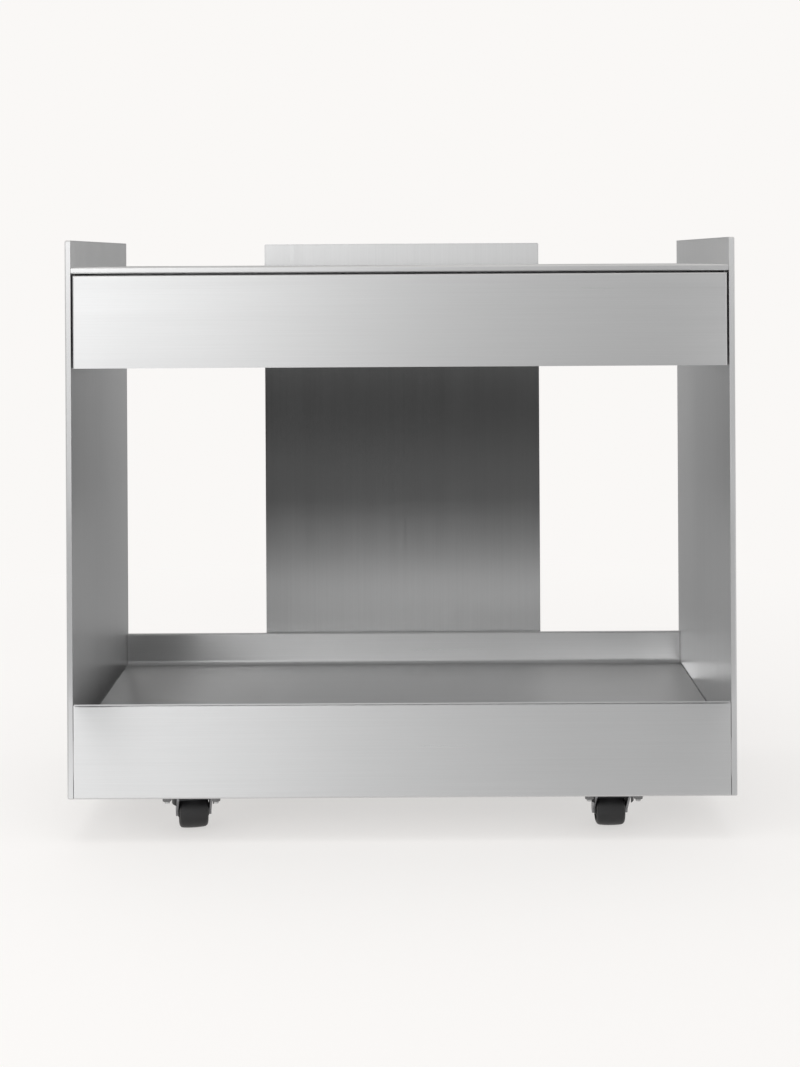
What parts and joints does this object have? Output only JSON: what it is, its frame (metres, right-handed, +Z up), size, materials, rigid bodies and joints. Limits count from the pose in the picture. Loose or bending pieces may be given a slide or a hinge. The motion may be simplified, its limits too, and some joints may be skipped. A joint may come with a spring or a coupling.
{
  "type": "serving trolley",
  "caption": "Brushed steel serving trolley with flat side panels, a lipped top over a handleless drawer, a lower tray and low swivel castors.",
  "frame": {"origin": "on the floor, under the middle of the trolley's box", "axes": "+X to the right seen from the drawer side, +Y towards the back panel, +Z up"},
  "size_m": [0.8, 0.4, 0.72],
  "materials": {
    "brushed_stainless": "stainless steel, finely brushed along each sheet",
    "mill_stainless": "stainless steel sheet, plain mill finish",
    "mill_steel": "flat steel bar, mill finish",
    "zinc_plate": "steel, bright zinc plate",
    "bearing_steel": "polished bearing steel",
    "stainless_fasteners": "stainless steel fasteners",
    "stop_plastic": "black nylon, satin",
    "wheel_plastic": "black moulded nylon, satin"
  },
  "bodies": {
    "carcass": {"back_panel_backing_bars": "mill_steel", "back_panel_inner_skin": "brushed_stainless", "back_panel_shell": "brushed_stainless", "castor_bolts": "stainless_fasteners", "castor_nuts": "stainless_fasteners", "front_left_castor_plate": "zinc_plate", "front_left_kingpin": "zinc_plate", "front_right_castor_plate": "zinc_plate", "front_right_kingpin": "zinc_plate", "left_castor_channel": "mill_stainless", "left_panel_backing_bars": "mill_steel", "left_panel_inner_skin": "brushed_stainless", "left_panel_shell": "brushed_stainless", "left_runner_outer": "zinc_plate", "left_tray_bracket": "mill_stainless", "lower_tray": "brushed_stainless", "panel_bolts": "stainless_fasteners", "rear_left_castor_plate": "zinc_plate", "rear_left_kingpin": "zinc_plate", "rear_right_castor_plate": "zinc_plate", "rear_right_kingpin": "zinc_plate", "right_castor_channel": "mill_stainless", "right_panel_backing_bars": "mill_steel", "right_panel_inner_skin": "brushed_stainless", "right_panel_shell": "brushed_stainless", "right_runner_outer": "zinc_plate", "right_tray_bracket": "mill_stainless", "runner_panel_screws": "stainless_fasteners", "runner_stops": "stop_plastic", "top_plate": "brushed_stainless", "top_stiffeners": "mill_stainless"},
    "drawer": {"drawer_front": "brushed_stainless", "drawer_floor": "mill_stainless", "drawer_walls": "mill_stainless", "drawer_front_screws": "stainless_fasteners", "runner_drawer_screws": "stainless_fasteners", "left_runner_inner": "zinc_plate", "right_runner_inner": "zinc_plate"},
    "left_middle_rail": {"left_runner_middle": "zinc_plate"},
    "left_outer_cage": {"left_outer_ball_cage": "bearing_steel"},
    "left_inner_cage": {"left_inner_ball_cage": "bearing_steel"},
    "right_middle_rail": {"right_runner_middle": "zinc_plate"},
    "right_outer_cage": {"right_outer_ball_cage": "bearing_steel"},
    "right_inner_cage": {"right_inner_ball_cage": "bearing_steel"},
    "front_left_swivel": {"front_left_fork": "zinc_plate", "front_left_axle": "zinc_plate", "front_left_ball_ring": "bearing_steel"},
    "front_left_roller": {"front_left_wheel": "wheel_plastic"},
    "front_right_swivel": {"front_right_fork": "zinc_plate", "front_right_axle": "zinc_plate", "front_right_ball_ring": "bearing_steel"},
    "front_right_roller": {"front_right_wheel": "wheel_plastic"},
    "rear_left_swivel": {"rear_left_fork": "zinc_plate", "rear_left_axle": "zinc_plate", "rear_left_ball_ring": "bearing_steel"},
    "rear_left_roller": {"rear_left_wheel": "wheel_plastic"},
    "rear_right_swivel": {"rear_right_fork": "zinc_plate", "rear_right_axle": "zinc_plate", "rear_right_ball_ring": "bearing_steel"},
    "rear_right_roller": {"rear_right_wheel": "wheel_plastic"}
  },
  "joints": [
    {"name": "drawer_slide", "type": "slide", "parent": "carcass", "child": "drawer", "axis": [0, -1, 0], "range_m": [0, 0.3]},
    {"name": "left_middle_rail_slide", "type": "slide", "parent": "carcass", "child": "left_middle_rail", "axis": [0, -1, 0], "range_m": [0, 0.15]},
    {"name": "left_outer_cage_slide", "type": "slide", "parent": "carcass", "child": "left_outer_cage", "axis": [0, -1, 0], "range_m": [0, 0.075]},
    {"name": "left_inner_cage_slide", "type": "slide", "parent": "carcass", "child": "left_inner_cage", "axis": [0, -1, 0], "range_m": [0, 0.225]},
    {"name": "right_middle_rail_slide", "type": "slide", "parent": "carcass", "child": "right_middle_rail", "axis": [0, -1, 0], "range_m": [0, 0.15]},
    {"name": "right_outer_cage_slide", "type": "slide", "parent": "carcass", "child": "right_outer_cage", "axis": [0, -1, 0], "range_m": [0, 0.075]},
    {"name": "right_inner_cage_slide", "type": "slide", "parent": "carcass", "child": "right_inner_cage", "axis": [0, -1, 0], "range_m": [0, 0.225]},
    {"name": "front_left_swivel_turn", "type": "hinge", "parent": "carcass", "child": "front_left_swivel", "pos_m": [-0.254, -0.158, 0.05], "axis": [0, 0, 1], "continuous": true},
    {"name": "front_left_wheel_roll", "type": "hinge", "parent": "front_left_swivel", "child": "front_left_roller", "pos_m": [-0.25713, -0.14027, 0.021], "axis": [0.9848, 0.1736, 0], "continuous": true},
    {"name": "front_right_swivel_turn", "type": "hinge", "parent": "carcass", "child": "front_right_swivel", "pos_m": [0.254, -0.158, 0.05], "axis": [0, 0, 1], "continuous": true},
    {"name": "front_right_wheel_roll", "type": "hinge", "parent": "front_right_swivel", "child": "front_right_roller", "pos_m": [0.25369, -0.14, 0.021], "axis": [0.9998, 0.0175, 0], "continuous": true},
    {"name": "rear_left_swivel_turn", "type": "hinge", "parent": "carcass", "child": "rear_left_swivel", "pos_m": [-0.254, 0.151, 0.05], "axis": [0, 0, 1], "continuous": true},
    {"name": "rear_left_wheel_roll", "type": "hinge", "parent": "rear_left_swivel", "child": "rear_left_roller", "pos_m": [-0.25588, 0.1689, 0.021], "axis": [0.9945, 0.1045, 0], "continuous": true},
    {"name": "rear_right_swivel_turn", "type": "hinge", "parent": "carcass", "child": "rear_right_swivel", "pos_m": [0.254, 0.151, 0.05], "axis": [0, 0, 1], "continuous": true},
    {"name": "rear_right_wheel_roll", "type": "hinge", "parent": "rear_right_swivel", "child": "rear_right_roller", "pos_m": [0.25619, 0.16887, 0.021], "axis": [0.9925, -0.1219, 0], "continuous": true}
  ],
  "couplings": [
    {"joint": "left_middle_rail_slide", "follows": "drawer_slide", "ratio": 0.5},
    {"joint": "left_outer_cage_slide", "follows": "drawer_slide", "ratio": 0.25},
    {"joint": "left_inner_cage_slide", "follows": "drawer_slide", "ratio": 0.75},
    {"joint": "right_middle_rail_slide", "follows": "drawer_slide", "ratio": 0.5},
    {"joint": "right_outer_cage_slide", "follows": "drawer_slide", "ratio": 0.25},
    {"joint": "right_inner_cage_slide", "follows": "drawer_slide", "ratio": 0.75}
  ]
}
